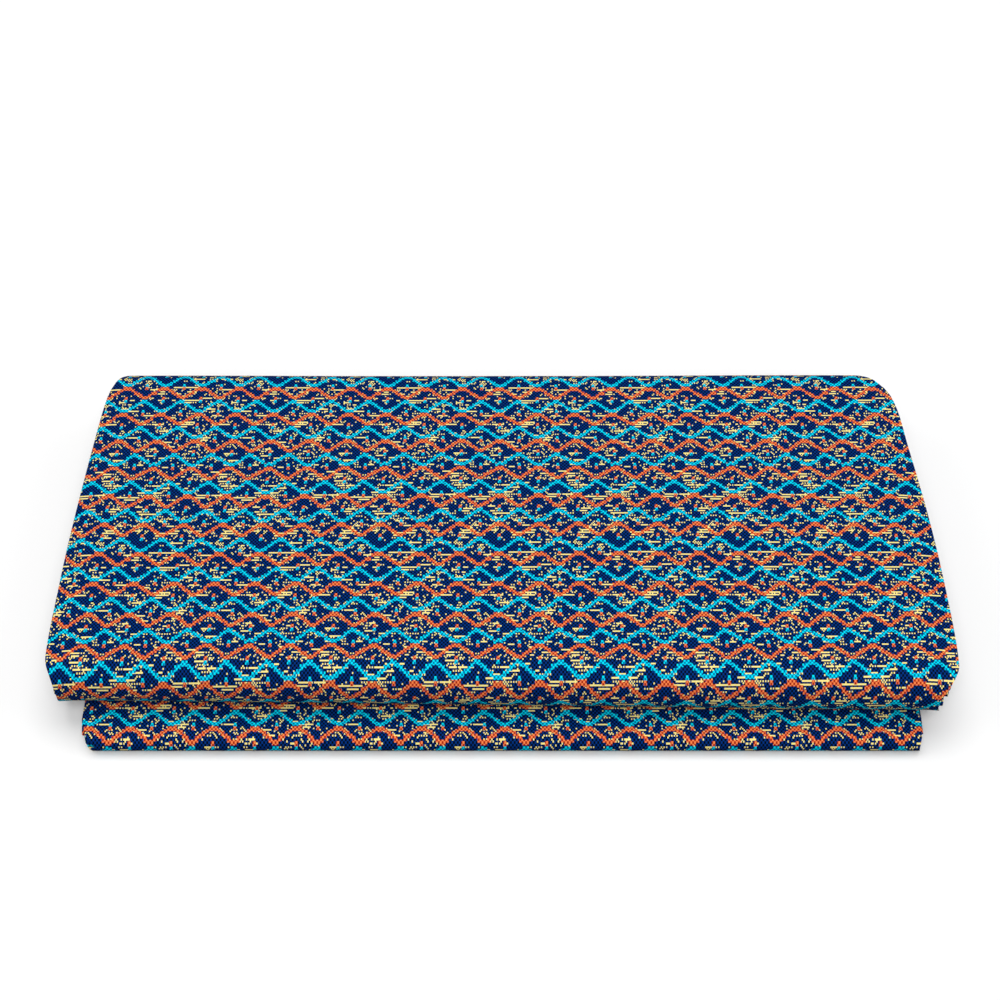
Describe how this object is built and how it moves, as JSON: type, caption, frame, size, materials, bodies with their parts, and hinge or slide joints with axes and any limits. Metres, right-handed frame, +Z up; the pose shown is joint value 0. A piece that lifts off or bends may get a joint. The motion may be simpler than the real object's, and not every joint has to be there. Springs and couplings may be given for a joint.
{
  "type": "folded wax print fabric",
  "caption": "Length of wax print cotton folded back and forth into a flat packet, a thin fold below and a thick round-nosed fold on top.",
  "frame": {"origin": "middle of the packet's box, on the surface that it lies on", "axes": "+X along the folds, -Y towards the front fold, +Z up"},
  "size_m": [0.5808, 0.317, 0.0493],
  "materials": {
    "printed_cotton": "plain woven cotton, wax printed on both faces in navy, cyan, orange and pale yellow, with a low sheen"
  },
  "bodies": {
    "root": {"folded_cloth": "printed_cotton"}
  },
  "joints": []
}
